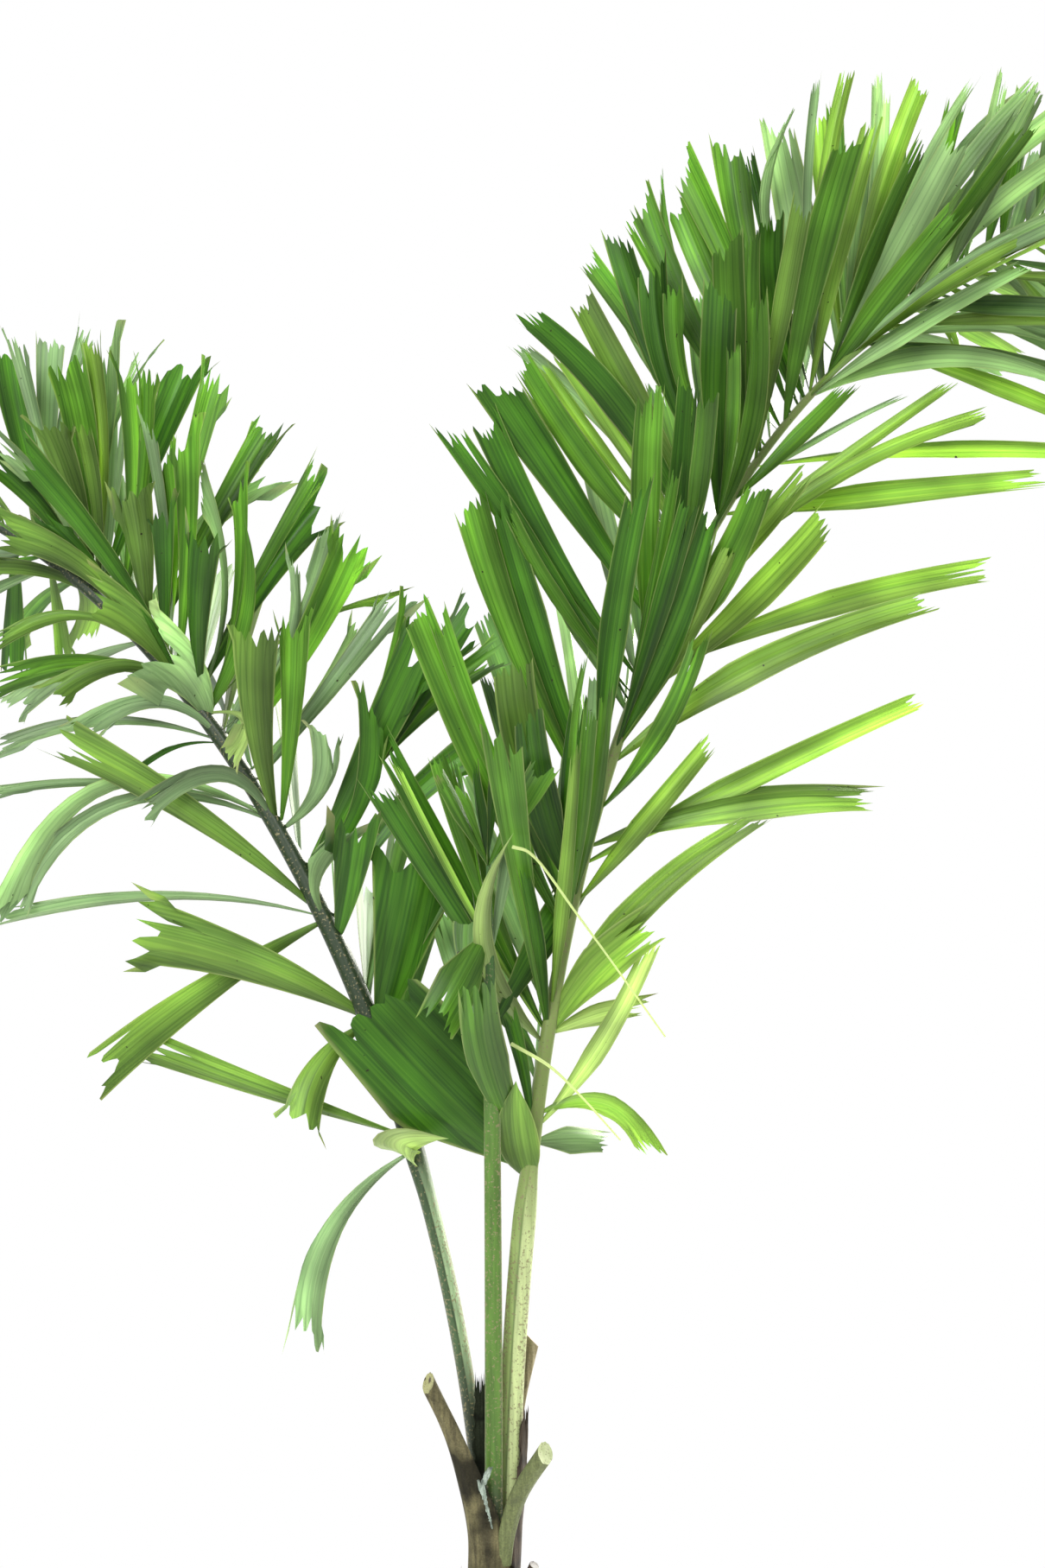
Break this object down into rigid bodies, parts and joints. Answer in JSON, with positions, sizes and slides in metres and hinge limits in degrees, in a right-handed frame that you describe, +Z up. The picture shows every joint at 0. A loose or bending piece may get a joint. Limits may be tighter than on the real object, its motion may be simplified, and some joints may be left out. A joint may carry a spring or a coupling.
{
  "type": "foxtail palm",
  "caption": "Young rooted palm: a ringed stem cut flat at the ground, arching plume-like fronds on channelled stalks, and the cut bases of older leaves around the stalks.",
  "frame": {"origin": "centre of the stem's flat cut at ground level", "axes": "+Z up along the stem, +X to the right and +Y away from the viewer of the picture"},
  "size_m": [2.4353, 0.6796, 2.5424],
  "materials": {
    "stem_bark": "dull grey-brown ringed bark",
    "old_leaf_base": "dull olive-brown leaf base with a pale cut end",
    "dry_sheath": "ragged dark dry fibre",
    "stalk": "satin green stalk with brown scurf",
    "left_leaflets": "satin deep green leaflets",
    "right_leaflets": "satin bright green leaflets",
    "centre_leaflets": "satin green young leaflets"
  },
  "bodies": {
    "root": {"stem": "stem_bark", "left_stub": "old_leaf_base", "right_stub": "old_leaf_base", "rear_stub": "old_leaf_base", "low_stub": "old_leaf_base", "dry_sheath": "dry_sheath", "left_stalk": "stalk", "centre_stalk": "stalk", "right_stalk": "stalk", "left_frond_lower": "left_leaflets", "left_frond_upper": "left_leaflets", "right_frond_lower": "right_leaflets", "right_frond_upper": "right_leaflets", "centre_frond": "centre_leaflets"}
  },
  "joints": []
}
